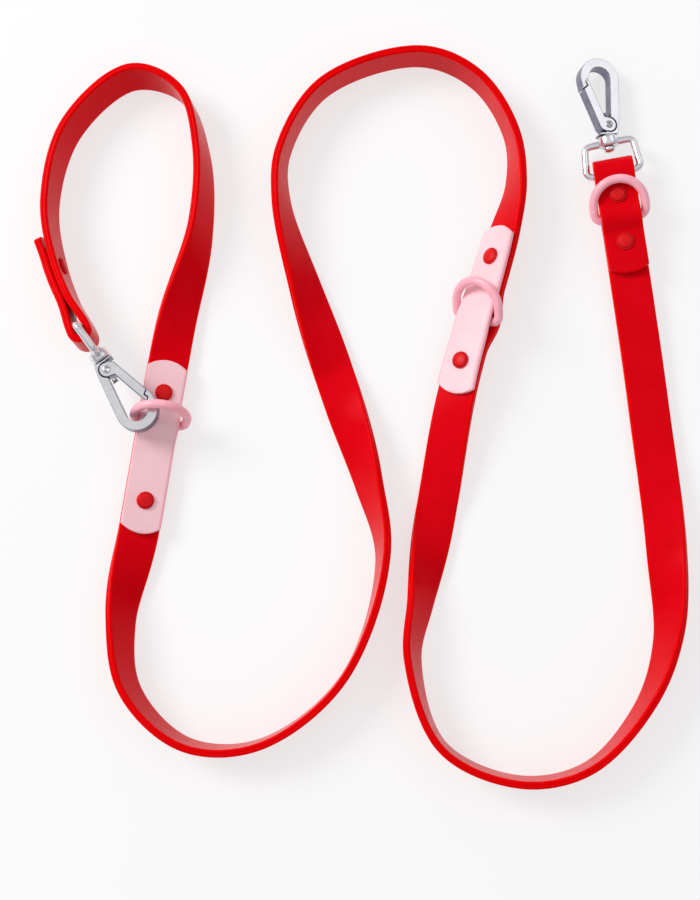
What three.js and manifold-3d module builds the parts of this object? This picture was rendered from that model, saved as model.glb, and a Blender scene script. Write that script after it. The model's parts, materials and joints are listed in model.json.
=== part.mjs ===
// A flat convertible lead, laid out on a table: one coated strap, two riveted tabs that each hold a
// D-ring, a third D-ring in the free end's fold, and a swivel snap hook in the fold at each end.
// The loop end's hook is clipped on the first ring, which closes the handle loop.
// Millimetres, +Z up, the table at z = 0, the origin at the middle of the outline on the table.
import * as THREE from "three";
import { mergeVertices } from "three/addons/utils/BufferGeometryUtils.js";
import Module from "manifold-3d";

const wasm = await Module();
wasm.setup();

// ---------------------------------------------------------------- driving dimensions
const GAP = 0.3; // between pieces that touch
const STRAP = { width: 20, thick: 3.8, chamfer: 0.7, step: 11 };
const TAB = { length: 87, width: 20, thick: 2.5, chamfer: 0.5, endRadius: 15, rivetSpacing: 54 };
const TAIL_END_RADIUS = 17;
const RING = { tube: 4.4, width: 25.6, height: 20, corner: 4, sides: 8 };
const RING_RISE = 5.35; // how far the two layers over and under a ring's bar part
const RIVET = { cap: 4.3, dome: 1.4, barrel: 2.1, bore: 1.55, post: 1.25, sides: 12 };
const HOOK = {
  thick: 6.4,
  pivot: [0.9, 8.8],
  base: 3.7,
  bend: { centre: [0.5, 34], outer: 10.3, inner: 5.7 },
  disc: 3.7,
  lugThick: 2.6,
  lugRadius: 3.4,
};
const EYE = { bar: 3.8, foldWidth: 27, topWidth: 24.8, height: 16, corner: 3, sides: 8 };
const BARREL = { radius: 5, low: -2.2, high: 3.4 };
const STUD = { radius: 2, head: 3, headDepth: 2.7 };
const GATE_PIN = { radius: 1.2, head: 1.9, headDepth: 0.5 };
const GATE_SPRING = { wire: 0.5, radius: 1.05, turns: 3, from: -0.4, to: 2.1, y: 14.9 };

// The strap's middle line, from the fold of the loop end to the fold of the free end. Each entry is
// x, y, lean and lift: lean turns the strap about its own length, 0 being flat with the tabbed face
// up, 90 on edge with that face to the right of the way it runs and -90 with it to the left. Lift
// raises its lower edge off the table.
const ROUTE = [
  [-133.6, 37, -90, 6],
  [-149, 72.5, -96, 2.2],
  [-154.5, 105.5, -97, 0.5],
  [-144.5, 143.5, -102, 0],
  [-114.5, 170, -103, 0],
  [-89.5, 161.5, -89, 0],
  [-79, 132, -78, 0],
  [-79, 91.5, -65, 0],
  [-90.5, 45.5, -28, 0.5],
  [-95, 22.5, -14, 1],
  [-108, -59, -16, 1],
  [-115.5, -103.5, -60, 0],
  [-110.5, -137, -75, 0],
  [-84, -162.5, -85, 0],
  [-48, -163, -89, 0],
  [-7.5, -132, -90, 0],
  [12, -74, -80, 0],
  [5, -35.5, -54, 0],
  [-7.5, 5.5, -14, 0],
  [-26, 61, 41, 0],
  [-38.5, 106.5, 72, 0],
  [-37.5, 132, 82, 0],
  [-17, 165, 86, 0],
  [31.5, 181, 88, 0],
  [60, 169, 88, 0],
  [77, 142, 85, 0],
  [79.5, 117, 74, 0.5],
  [72.5, 87, 50, 3.6],
  [49.5, 10.5, 27, 3],
  [39.5, -45, 4, 0.4],
  [30.5, -94, -54, 0],
  [26.5, -122.5, -72, 0],
  [40.5, -164, -84, 0],
  [77.5, -180.5, -88, 0],
  [111, -174, -90, 0],
  [138.5, -144.5, -83, 0],
  [150.5, -112.5, -66, 0],
  [151.5, -69.5, -30, 0.4],
  [144.5, 6.5, -4, 1],
  [129.2, 121.6, -11, 3.9],
];

// Where each tab sits: the way along the strap to its first rivet, then from there to its ring, the
// ring's tilt from the strap towards the way it came from, and how far the strap bows away under the
// ring; the tab takes the rest.
const TABS = [
  { name: "1", first: 338, ring: 15, tilt: 69, strapBow: 0 },
  { name: "2", first: 1112, ring: 31.5, tilt: 35, strapBow: 4.6 },
];
const TAB_SWELL = 10.5; // half the length of a tab's swelling over its ring

// The two folded ends. Distances run back along the strap from the middle of the fold's turn, and
// slack is how far back the eye's bar sits.
const LOOP_END = { close: 20, tail: 54, rivets: [37.5], splay: 1.8, slack: 2.5 };
const FREE_END = {
  close: 9,
  tail: 53,
  rivets: [13, 37],
  ring: 24.5,
  tilt: 24,
  strapBow: 2.2,
  slack: 1.3,
};
const FREE_SWELL = 8;

// The hooks' poses: the eye frame's swing about the fold and its skew in it, then the hook's turn on
// its swivel.
const LOOP_HOOK = { swing: -12, turn: -90, skew: 0 };
const FREE_HOOK = { swing: -4.6, turn: 25, skew: 2 };

const RED = { color: 0xd8091a, roughness: 0.3, metalness: 0 };
const PINK = { color: 0xf6c3cb, roughness: 0.4, metalness: 0 };
const RING_PINK = { color: 0xf4a6b4, roughness: 0.35, metalness: 0 };
const NICKEL = { color: 0xc9c9cd, roughness: 0.2, metalness: 1 };
const STEEL = { color: 0x6b6c70, roughness: 0.35, metalness: 1 };

// ---------------------------------------------------------------- solids
function solidOf(geometry) {
  const bare = new THREE.BufferGeometry().setAttribute("position", geometry.getAttribute("position"));
  if (geometry.index) bare.setIndex(geometry.index);
  const merged = mergeVertices(bare, 1e-4);
  const vertProperties = new Float32Array(merged.attributes.position.array);
  const triVerts = new Uint32Array(merged.index.array);
  return new wasm.Manifold(new wasm.Mesh({ numProp: 3, vertProperties, triVerts }));
}

function geometryOf(solid) {
  const { vertProperties, triVerts, numProp } = solid.getMesh();
  const geometry = new THREE.BufferGeometry();
  geometry.setAttribute("position", new THREE.BufferAttribute(new Float32Array(vertProperties), numProp));
  geometry.setIndex(new THREE.BufferAttribute(new Uint32Array(triVerts), 1));
  return geometry;
}

function joined(...geometries) {
  return geometryOf(geometries.map(solidOf).reduce((whole, next) => whole.add(next)));
}

function cutFrom(geometry, cutters) {
  return geometryOf(cutters.map(solidOf).reduce((whole, next) => whole.subtract(next), solidOf(geometry)));
}

// A closed surface through sections of the same number of points, each running anticlockwise as seen
// from the way ahead. Looped, the last section joins the first; otherwise both ends are capped.
function skin(sections, looped) {
  const sides = sections[0].length;
  const triangles = [];
  const last = looped ? sections.length : sections.length - 1;
  for (let j = 0; j < last; j++) {
    const here = j * sides;
    const ahead = ((j + 1) % sections.length) * sides;
    for (let i = 0; i < sides; i++) {
      const k = (i + 1) % sides;
      triangles.push(here + i, here + k, ahead + i, here + k, ahead + k, ahead + i);
    }
  }
  const end = (sections.length - 1) * sides;
  for (let i = 1; i < sides - 1 && !looped; i++) {
    triangles.push(0, i + 1, i, end, end + i, end + i + 1);
  }
  const geometry = new THREE.BufferGeometry().setFromPoints(sections.flat());
  geometry.setIndex(triangles);
  return geometry;
}

// A flat band through stations, each with its centre, its half width and unit vectors across and up.
function band(stations, thick, chamfer) {
  const sections = stations.map(({ centre, across, up, half }) => {
    const [top, shoulder, edge] = [thick / 2, thick / 2 - chamfer, half - chamfer];
    const outline = [
      [half, -shoulder], [half, shoulder], [edge, top], [-edge, top],
      [-half, shoulder], [-half, -shoulder], [-edge, -top], [edge, -top],
    ];
    return outline.map(([x, z]) => centre.clone().addScaledVector(across, x).addScaledVector(up, z));
  });
  return skin(sections, false);
}

// A round wire along points in space, with a section every point; looped closes it on itself.
function wire(points, radius, sides, looped) {
  const count = points.length;
  const neighbour = (i) => points[looped ? (i + count) % count : Math.min(Math.max(i, 0), count - 1)];
  let across = null;
  const sections = points.map((point, i) => {
    const ahead = neighbour(i + 1).clone().sub(neighbour(i - 1)).normalize();
    across = across ?? new THREE.Vector3(ahead.y, ahead.z, ahead.x);
    across = across.clone().addScaledVector(ahead, -across.dot(ahead)).normalize();
    const up = ahead.clone().cross(across);
    return Array.from({ length: sides }, (_, k) => {
      const angle = (2 * Math.PI * (k + 0.5)) / sides;
      return point.clone().addScaledVector(across, radius * Math.cos(angle))
        .addScaledVector(up, radius * Math.sin(angle));
    });
  });
  return skin(sections, looped);
}

// A flat plate of one outline, centred on its own mid-plane.
function plate(shape, thick, curveSegments) {
  const geometry = new THREE.ExtrudeGeometry(shape, { depth: thick, bevelEnabled: false, curveSegments });
  return geometry.translate(0, 0, -thick / 2);
}

// A rod along Z or Y between two heights, about a point of the plane across it.
function rod(radius, low, high, sides, at = [0, 0]) {
  const geometry = new THREE.CylinderGeometry(radius, radius, high - low, sides).rotateX(Math.PI / 2);
  return geometry.translate(at[0], at[1], (low + high) / 2);
}

function rodAlongY(radius, low, high, sides) {
  const geometry = new THREE.CylinderGeometry(radius, radius, high - low, sides);
  return geometry.translate(0, (low + high) / 2, 0);
}

// ---------------------------------------------------------------- the strap's line
const fall = (x) => (x <= 0 ? 1 : x >= 1 ? 0 : (1 + Math.cos(Math.PI * x)) / 2);
const swell = (x) => (Math.abs(x) < 1 ? Math.cos((Math.PI * x) / 2) ** 2 : 0);
const FOLD_PART = EYE.bar / 2 + GAP; // how far each layer stands off to pass round the eye's bar
const LAYERS = STRAP.thick + GAP; // from the middle of one layer to the middle of the next

class Line {
  constructor(route, samples) {
    const floor = new THREE.CatmullRomCurve3(route.map(([x, y]) => new THREE.Vector3(x, y, 0)));
    const postures = route.map(([, , lean, lift]) => new THREE.Vector3(lean, lift, 0));
    const posture = new THREE.CatmullRomCurve3(postures);
    this.points = [];
    this.leans = [];
    this.lengths = [0];
    for (let i = 0; i <= samples; i++) {
      const { x: degrees, y: lift } = posture.getPoint(i / samples);
      const lean = THREE.MathUtils.degToRad(degrees);
      const sideHeight = STRAP.width * Math.abs(Math.sin(lean));
      const faceHeight = STRAP.thick * Math.abs(Math.cos(lean));
      const point = floor.getPoint(i / samples).setZ((sideHeight + faceHeight) / 2 + lift);
      if (i > 0) this.lengths.push(this.lengths[i - 1] + point.distanceTo(this.points[i - 1]));
      this.points.push(point);
      this.leans.push(lean);
    }
    this.length = this.lengths[samples];
  }

  // The middle of the strap, its way ahead, across and up at a distance along it; beyond either end
  // the line runs on straight.
  at(distance) {
    const inside = Math.min(Math.max(distance, 0), this.length);
    let i = 1;
    while (i < this.points.length - 1 && this.lengths[i] < inside) i++;
    const share = (inside - this.lengths[i - 1]) / (this.lengths[i] - this.lengths[i - 1]);
    const lean = THREE.MathUtils.lerp(this.leans[i - 1], this.leans[i], share);
    const before = this.points[Math.max(i - 4, 0)];
    const after = this.points[Math.min(i + 3, this.points.length - 1)];
    const ahead = after.clone().sub(before).normalize();
    const level = new THREE.Vector3(-ahead.y, ahead.x, 0).normalize();
    const upright = ahead.clone().cross(level);
    const across = level.clone().multiplyScalar(Math.cos(lean)).addScaledVector(upright, Math.sin(lean));
    const middle = this.points[i - 1].clone().lerp(this.points[i], share);
    middle.addScaledVector(ahead, distance - inside);
    return { middle, ahead, across, up: ahead.clone().cross(across) };
  }
}

const line = new Line(ROUTE, 1600);
const FREE_RING_AT = line.length - FREE_END.ring;

// How far the strap's own layer stands off its line, away from the tabs, at the folds and rings.
function strapOffset(distance) {
  const folds = fall(distance / LOOP_END.close) + fall((line.length - distance) / FREE_END.close);
  let offset = -FOLD_PART * folds - FREE_END.strapBow * swell((distance - FREE_RING_AT) / FREE_SWELL);
  for (const tab of TABS) {
    offset -= tab.strapBow * swell((distance - tab.first - tab.ring) / (1.6 * TAB_SWELL));
  }
  return offset;
}

const ringBarHeight = (strapBow) => STRAP.thick / 2 + GAP + RING.tube / 2 - strapBow;

// How far a folded tail's middle stands off the line, at a distance back from the eye's bar.
function loopTailOffset(back) {
  const beyond = Math.max(back - LOOP_END.rivets[0], 0) / (LOOP_END.tail - LOOP_END.rivets[0]);
  return LAYERS + FOLD_PART * fall(back / LOOP_END.close) + LOOP_END.splay * beyond ** 2;
}

function freeTailOffset(back) {
  const ringRise = (RING_RISE - FREE_END.strapBow) * swell((back - FREE_END.ring) / FREE_SWELL);
  return LAYERS + FOLD_PART * fall(back / FREE_END.close) + ringRise;
}

// Stations along a run given as [distance, offset] pairs, with the half width at each.
function stations(run) {
  return run.map(([distance, offset, half], i) => {
    const [before, after] = [run[Math.max(i - 1, 0)], run[Math.min(i + 1, run.length - 1)]];
    const { middle, ahead, across, up } = line.at(distance);
    const way = ahead.clone().multiplyScalar(after[0] - before[0]).addScaledVector(up, after[1] - before[1]);
    way.normalize();
    const centre = middle.addScaledVector(up, offset);
    return { centre, across, up: way.cross(across), half };
  });
}

// Half widths towards a tip that ends in an arc: [distance from the tip, half width].
function tipWidths(halfWidth, radius) {
  const depth = radius - Math.sqrt(radius ** 2 - halfWidth ** 2);
  return [0.02, 0.12, 0.3, 0.6, 1].map((share) => {
    const back = share * depth;
    return [back, Math.min(Math.sqrt(radius ** 2 - (radius - back) ** 2), halfWidth)];
  });
}

function spread(from, to, step) {
  const count = Math.max(1, Math.round(Math.abs(to - from) / step));
  return Array.from({ length: count + 1 }, (_, i) => from + ((to - from) * i) / count);
}

// ---------------------------------------------------------------- strap, tabs and rivets
function tailRun(tail, offsetOf, place) {
  const half = STRAP.width / 2;
  const tip = tipWidths(half, TAIL_END_RADIUS).map(([back, width]) => [tail - back, width]);
  const rest = spread(tip.at(-1)[0] - 2, 0, 2).map((back) => [back, half]);
  return [...tip, ...rest].map(([back, width]) => [place(back), offsetOf(back), width]);
}

// The turn round an eye's bar, from the tail's side to the strap's, as [distance, offset] pairs.
function foldRun(place) {
  const radius = FOLD_PART + LAYERS / 2;
  return [1, 2, 3, 4, 5].map((step) => {
    const angle = (Math.PI * step) / 6;
    return [place(-radius * Math.sin(angle)), LAYERS / 2 + radius * Math.cos(angle), STRAP.width / 2];
  });
}

function strapStops() {
  const fine = [...spread(0, LOOP_END.close + 2, 2), ...spread(line.length - 33, line.length, 2)];
  for (const tab of TABS.filter(({ strapBow }) => strapBow)) {
    const middle = tab.first + tab.ring;
    fine.push(...spread(middle - 20, middle + 20, 4));
  }
  const coarse = spread(LOOP_END.close + 2, line.length - 33, STRAP.step);
  const clear = coarse.filter((stop) => fine.every((other) => Math.abs(other - stop) > 2));
  return [...fine, ...clear].sort((a, b) => a - b);
}

function strapGeometry() {
  const fromStart = (back) => back;
  const fromEnd = (back) => line.length - back;
  const half = STRAP.width / 2;
  const run = [
    ...tailRun(LOOP_END.tail, loopTailOffset, fromStart),
    ...foldRun(fromStart),
    ...strapStops().map((stop) => [stop, strapOffset(stop), half]),
    ...foldRun(fromEnd).reverse(),
    ...tailRun(FREE_END.tail, freeTailOffset, fromEnd).reverse(),
  ];
  return band(stations(run), STRAP.thick, STRAP.chamfer);
}

function tabOffset(tab, distance) {
  const rise = RING_RISE - tab.strapBow;
  const seat = STRAP.thick / 2 + GAP + TAB.thick / 2;
  return seat + rise * swell((distance - tab.first - tab.ring) / TAB_SWELL);
}

function tabGeometry(tab) {
  const overhang = (TAB.length - TAB.rivetSpacing) / 2;
  const [start, end] = [tab.first - overhang, tab.first + TAB.rivetSpacing + overhang];
  const tip = tipWidths(TAB.width / 2, TAB.endRadius);
  const depth = tip.at(-1)[0];
  const run = [
    ...tip.map(([back, half]) => [start + back, half]),
    ...spread(start + depth + 2, end - depth - 2, 2.6).map((stop) => [stop, TAB.width / 2]),
    ...tip.map(([back, half]) => [end - back, half]).reverse(),
  ];
  return band(
    stations(run.map(([stop, half]) => [stop, tabOffset(tab, stop), half])),
    TAB.thick,
    TAB.chamfer,
  );
}

// The axes of a rivet through the layers at a distance, z being up through them.
function seatAt(distance, offset) {
  const { middle, ahead, across, up } = line.at(distance);
  return new THREE.Matrix4().makeBasis(ahead, across, up).setPosition(middle.addScaledVector(up, offset));
}

// A turned piece about Z from its outline of [radius, height], which starts and ends on the axis.
function turned(outline, sides) {
  const points = outline.map(([radius, height]) => new THREE.Vector2(radius, height));
  return new THREE.LatheGeometry(points, sides).rotateX(Math.PI / 2);
}

function rivetCap(depth) {
  const { cap, dome, barrel, bore, sides } = RIVET;
  return turned([
    [0, -0.5], [bore, -0.5], [bore, -depth], [barrel, -depth], [barrel, 0],
    [cap, 0], [cap, 0.35 * dome], [0.8 * cap, 0.75 * dome], [0.45 * cap, dome], [0, dome],
  ], sides);
}

function rivetBack(depth) {
  const { cap, dome, post, sides } = RIVET;
  return turned([
    [0, -dome], [0.45 * cap, -dome], [0.8 * cap, -0.75 * dome], [cap, -0.35 * dome],
    [cap, 0], [post, 0], [post, depth], [0, depth],
  ], sides);
}

// One rivet through a stack of layers, from the offset of its lower face to that of its upper one.
function rivetThrough(name, distance, lower, upper) {
  const depth = upper - lower;
  return {
    name,
    cap: { geometry: rivetCap(depth + GAP), matrix: seatAt(distance, upper + GAP) },
    back: { geometry: rivetBack(depth - 0.3), matrix: seatAt(distance, lower - GAP) },
    hole: rod(RIVET.barrel + GAP, -3, depth + 3, RIVET.sides).applyMatrix4(seatAt(distance, lower)),
  };
}

function rivets() {
  const below = -STRAP.thick / 2;
  const tabTop = STRAP.thick / 2 + GAP + TAB.thick;
  const tailTop = LAYERS + STRAP.thick / 2;
  const made = TABS.flatMap((tab) => [
    rivetThrough(`tab_${tab.name}_rivet_1`, tab.first, below, tabTop),
    rivetThrough(`tab_${tab.name}_rivet_2`, tab.first + TAB.rivetSpacing, below, tabTop),
  ]);
  made.push(rivetThrough("loop_end_rivet", LOOP_END.rivets[0], below, tailTop));
  FREE_END.rivets.forEach((back, i) => {
    made.push(rivetThrough(`free_end_rivet_${i + 1}`, line.length - back, below, tailTop));
  });
  return made;
}

// ---------------------------------------------------------------- D-ring
// Its bar lies along X through the origin and its arc reaches up Y.
function ringOutline() {
  const { width, height, corner } = RING;
  const half = width / 2;
  const flat = half - corner;
  const outline = new THREE.Path();
  outline.moveTo(-flat, 0).lineTo(flat, 0);
  outline.absarc(flat, corner, corner, -Math.PI / 2, 0, false);
  outline.absarc(0, height - half, half, 0, Math.PI, false);
  outline.absarc(-flat, corner, corner, Math.PI, 1.5 * Math.PI, false);
  return outline;
}

// A path's points in the XY plane, with none twice.
function loopPoints(outline, divisions) {
  const points = outline.getPoints(divisions).map(({ x, y }) => new THREE.Vector3(x, y, 0));
  return points.filter((point, i) => point.distanceTo(points[(i + 1) % points.length]) > 0.01);
}

function ringGeometry() {
  return wire(loopPoints(ringOutline(), 5), RING.tube / 2, RING.sides, true);
}

// The axes of a ring's bar: X along it, Y the way the ring lies flat on the layers.
function ringSeat(distance, strapBow, towardsEnd) {
  const { middle, ahead, across, up } = line.at(distance);
  const [x, y] = towardsEnd
    ? [across.clone().negate(), ahead]
    : [across, ahead.clone().negate()];
  return new THREE.Matrix4().makeBasis(x, y, up)
    .setPosition(middle.addScaledVector(up, ringBarHeight(strapBow)));
}

// ---------------------------------------------------------------- snap hook
// In the hook's own axes the swivel's axis is Y, the middle of the frame's top bar is the origin, the
// flat faces look along Z, the gate is on the -X side and the spine on the +X side.
function bodyOutline() {
  const { base, bend } = HOOK;
  const [cx, cy] = bend.centre;
  const slant = THREE.MathUtils.degToRad(-8);
  const shape = new THREE.Shape();
  shape.moveTo(-4.8, base).lineTo(4.8, base).lineTo(5.9, 7.2).lineTo(6.8, 10.8);
  shape.absarc(cx, cy, bend.outer, slant, THREE.MathUtils.degToRad(183), false);
  shape.lineTo(-9.5, 28.7).lineTo(-7.1, 30.2).lineTo(-7.8, 32.4).lineTo(-6.1, 33.8);
  shape.absarc(cx, cy, bend.inner, THREE.MathUtils.degToRad(175), slant, true);
  shape.lineTo(2.7, 13.5).lineTo(2.6, 12.2).lineTo(-1.1, 8.8);
  shape.lineTo(-1.1, base + 1).lineTo(-4.8, base + 1);
  return shape;
}

function lugOutline() {
  const { base } = HOOK;
  const shape = new THREE.Shape();
  shape.moveTo(-0.5, base + 0.3).lineTo(5, base + 0.3).lineTo(6.1, 9.5).lineTo(4.6, 12.4).lineTo(-0.5, 8);
  return shape;
}

function bodyGeometry() {
  const { thick, pivot, base, lugThick, lugRadius, disc } = HOOK;
  const cheekRoom = rod(disc + 0.4, -thick, thick, 28, pivot);
  const lug = joined(
    plate(lugOutline(), lugThick, 4),
    rod(lugRadius, -lugThick / 2, lugThick / 2, 24, pivot),
  );
  const stud = joined(
    rodAlongY(STUD.radius, BARREL.low - GAP - 0.2, base + 0.5, 16),
    turned([
      [0, 0], [STUD.head, 0], [STUD.head, 0.7], [0.8 * STUD.head, 0.7 * STUD.headDepth],
      [0.4 * STUD.head, STUD.headDepth], [0, STUD.headDepth],
    ], 16).rotateX(Math.PI / 2).translate(0, BARREL.low - GAP, 0),
  );
  const full = joined(cutFrom(plate(bodyOutline(), thick, 8), [cheekRoom]), lug, stud);
  return cutFrom(full, [rod(GATE_PIN.radius + GAP, -thick, thick, 16, pivot)]);
}

function gateOutline() {
  const { pivot, disc } = HOOK;
  const shape = new THREE.Shape();
  shape.moveTo(-4.7, 10).lineTo(-4.4, 8.3).lineTo(-3.4, 6.6).lineTo(-1.7, 5.5);
  shape.absarc(...pivot, disc, THREE.MathUtils.degToRad(250), THREE.MathUtils.degToRad(440), false);
  shape.lineTo(-0.9, 13.2).lineTo(-5.75, 33.6).lineTo(-7.45, 32.3).lineTo(-6.7, 30.1).lineTo(-9.2, 28.4);
  return shape;
}

function gateGeometry() {
  const { thick, pivot, lugThick, disc } = HOOK;
  const slot = lugThick / 2 + GAP;
  return cutFrom(plate(gateOutline(), thick, 10), [
    rod(disc + 0.3, -slot, slot, 28, pivot),
    rod(GATE_PIN.radius + GAP, -thick, thick, 16, pivot),
  ]);
}

function gatePinGeometry() {
  const { radius, head, headDepth } = GATE_PIN;
  const face = HOOK.thick / 2 + GAP;
  return turned([
    [0, -face - headDepth], [0.8 * head, -face - headDepth], [head, -face - headDepth / 2], [head, -face],
    [radius, -face], [radius, face],
    [head, face], [head, face + headDepth / 2], [0.8 * head, face + headDepth], [0, face + headDepth],
  ], 16).translate(...HOOK.pivot, 0);
}

function gateSpringGeometry() {
  const { wire: thick, radius, turns, from, to, y } = GATE_SPRING;
  const steps = 12 * turns;
  const points = Array.from({ length: steps + 1 }, (_, i) => {
    const angle = (2 * Math.PI * turns * i) / steps;
    return new THREE.Vector3(
      from + ((to - from) * i) / steps, y + radius * Math.cos(angle), radius * Math.sin(angle),
    );
  });
  return wire(points, thick / 2, 6, false);
}

function eyeOutline() {
  const { foldWidth, topWidth, height, corner } = EYE;
  const [low, high] = [foldWidth / 2, topWidth / 2];
  const outline = new THREE.Path();
  outline.moveTo(-low + corner, -height).lineTo(low - corner, -height);
  outline.absarc(low - corner, corner - height, corner, -Math.PI / 2, 0, false);
  outline.absarc(high - corner, -corner, corner, 0, Math.PI / 2, false);
  outline.absarc(-high + corner, -corner, corner, Math.PI / 2, Math.PI, false);
  outline.absarc(-low + corner, corner - height, corner, Math.PI, 1.5 * Math.PI, false);
  return outline;
}

function eyeGeometry() {
  const frame = wire(loopPoints(eyeOutline(), 3), EYE.bar / 2, EYE.sides, true);
  const barrel = rodAlongY(BARREL.radius, BARREL.low, BARREL.high, 20);
  return cutFrom(joined(frame, barrel), [rodAlongY(STUD.radius + GAP, -9, 9, 16)]);
}

// ---------------------------------------------------------------- assembly
function mesh(name, geometry, finish) {
  const material = new THREE.MeshStandardMaterial(finish);
  const made = new THREE.Mesh(geometry, material);
  made.name = name;
  return made;
}

function placed(matrix, ...children) {
  const group = new THREE.Group();
  matrix.decompose(group.position, group.quaternion, group.scale);
  return group.add(...children);
}

// A hook with its eye frame. The seat's origin is the middle of the fold, its X the eye's bar and its
// Y the way out of the fold.
function hook(name, seat, { swing, turn, skew }) {
  const turning = new THREE.Group();
  turning.name = `hook_${name}_axes`;
  turning.rotation.y = THREE.MathUtils.degToRad(turn);
  turning.add(
    mesh(`hook_${name}_body`, bodyGeometry(), NICKEL),
    mesh(`hook_${name}_gate`, gateGeometry(), NICKEL),
    mesh(`hook_${name}_gate_pin`, gatePinGeometry(), STEEL),
    mesh(`hook_${name}_gate_spring`, gateSpringGeometry(), STEEL),
  );
  const top = new THREE.Group();
  top.position.y = EYE.height;
  top.add(mesh(`hook_${name}_eye_frame`, eyeGeometry(), NICKEL), turning);
  const swinging = new THREE.Group();
  swinging.name = `eye_${name}_axes`;
  swinging.rotation.x = THREE.MathUtils.degToRad(swing);
  const skewed = new THREE.Matrix4().makeRotationZ(THREE.MathUtils.degToRad(skew));
  swinging.add(top);
  return placed(seat.multiply(skewed), swinging);
}

function foldSeat(distance, outwards) {
  const { middle, ahead, across, up } = line.at(distance);
  const [x, y] = outwards > 0 ? [across.clone().negate(), ahead] : [across, ahead.clone().negate()];
  return new THREE.Matrix4().makeBasis(x, y, up).setPosition(middle.addScaledVector(up, LAYERS / 2));
}

function ring(name, seat, tilt) {
  const made = mesh(`d_ring_${name}`, ringGeometry(), RING_PINK);
  made.rotation.x = THREE.MathUtils.degToRad(tilt);
  return placed(seat, made);
}

const leash = new THREE.Group();
const allRivets = rivets();
const holesFor = (prefix) => allRivets.filter(({ name }) => name.startsWith(prefix)).map(({ hole }) => hole);

leash.add(mesh("strap", cutFrom(strapGeometry(), holesFor("")), RED));
for (const tab of TABS) {
  leash.add(mesh(`tab_${tab.name}`, cutFrom(tabGeometry(tab), holesFor(`tab_${tab.name}`)), PINK));
  leash.add(ring(tab.name, ringSeat(tab.first + tab.ring, tab.strapBow, false), tab.tilt));
}
leash.add(ring("3", ringSeat(FREE_RING_AT, FREE_END.strapBow, true), FREE_END.tilt));
for (const { name, cap, back } of allRivets) {
  leash.add(placed(cap.matrix, mesh(`${name}_cap`, cap.geometry, RED)));
  leash.add(placed(back.matrix, mesh(`${name}_back`, back.geometry, RED)));
}
leash.add(hook("1", foldSeat(LOOP_END.slack, -1), LOOP_HOOK));
leash.add(hook("2", foldSeat(line.length - FREE_END.slack, 1), FREE_HOOK));

export default leash;
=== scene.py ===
# A flat convertible lead laid out on a white table: the coated strap, its tabs, rivets and D-rings, and
# the two swivel snap hooks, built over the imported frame. Lengths are in millimetres up to the meshes.
import json
import math

import bpy
from mathutils import Matrix, Vector


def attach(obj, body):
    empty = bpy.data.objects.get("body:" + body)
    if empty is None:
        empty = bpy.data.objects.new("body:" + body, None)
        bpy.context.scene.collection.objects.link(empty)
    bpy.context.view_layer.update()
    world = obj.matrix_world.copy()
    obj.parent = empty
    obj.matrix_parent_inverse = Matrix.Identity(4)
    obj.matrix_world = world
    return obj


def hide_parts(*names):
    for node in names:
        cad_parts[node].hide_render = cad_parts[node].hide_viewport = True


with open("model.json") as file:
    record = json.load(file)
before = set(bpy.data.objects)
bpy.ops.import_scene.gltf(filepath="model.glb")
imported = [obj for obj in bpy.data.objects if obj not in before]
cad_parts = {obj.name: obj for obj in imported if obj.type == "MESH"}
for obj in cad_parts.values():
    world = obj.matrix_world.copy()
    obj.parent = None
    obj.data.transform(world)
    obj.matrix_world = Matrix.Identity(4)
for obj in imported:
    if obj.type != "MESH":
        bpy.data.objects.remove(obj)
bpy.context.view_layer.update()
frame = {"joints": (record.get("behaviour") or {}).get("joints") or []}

# ---------------------------------------------------------------- driving dimensions, as in the part
GAP = 0.3
STRAP = {"width": 20, "thick": 3.8, "round": 1.0, "step": 2.5}
TAB = {"length": 87, "width": 20, "thick": 2.5, "round": 0.9, "end_radius": 15, "rivet_spacing": 54}
TAIL_END_RADIUS = 17
RING = {"tube": 4.4, "width": 25.6, "height": 20, "corner": 4}
RING_RISE = 5.35
RIVET = {"cap": 4.3, "dome": 1.4}
EYE = {"bar": 3.8, "fold_width": 27, "top_width": 24.8, "height": 16, "corner": 3}
BARREL = {"radius": 5, "low": -2.2, "high": 3.4}
STUD = {"radius": 2, "head": 3, "head_depth": 2.7}
HOOK = {"thick": 6.4, "pivot": (0.9, 8.8), "base": 3.7, "centre": (0.5, 34), "outer": 10.3, "inner": 5.7}
DISC = 3.7
PIN = {"radius": 1.2, "head": 1.9, "depth": 0.5}
SPRING = {"wire": 0.5, "radius": 1.05, "turns": 3, "from": -0.4, "to": 2.1, "y": 14.9}
LUG_THICK = 2.6

# ---------------------------------------------------------------- how finely the pieces are drawn
LINE_SAMPLES = 1600
PATH_STEP = 4
TAB_STEP = 1.2
WIRE_STEP = 2
FOLD_STEPS = 14
CORNER_STEPS = 4
BEND_STEPS = 8
TURN_STEPS = 24
# A band's edge has two rounded corners with a seam of three points between them.
SEAM = {"half": 0.16, "depth": 0.14}
EDGE_POINTS = 2 * (CORNER_STEPS + 1) + 3
FACE_SHARES = (0.93, 0.5)
# A tip thins to this share of the band's thickness over this length.
TIP = {"fullness": 0.35, "length": 0.9}
# Turned pieces all but close on their axis.
AXIS_RADIUS = 0.02

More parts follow.
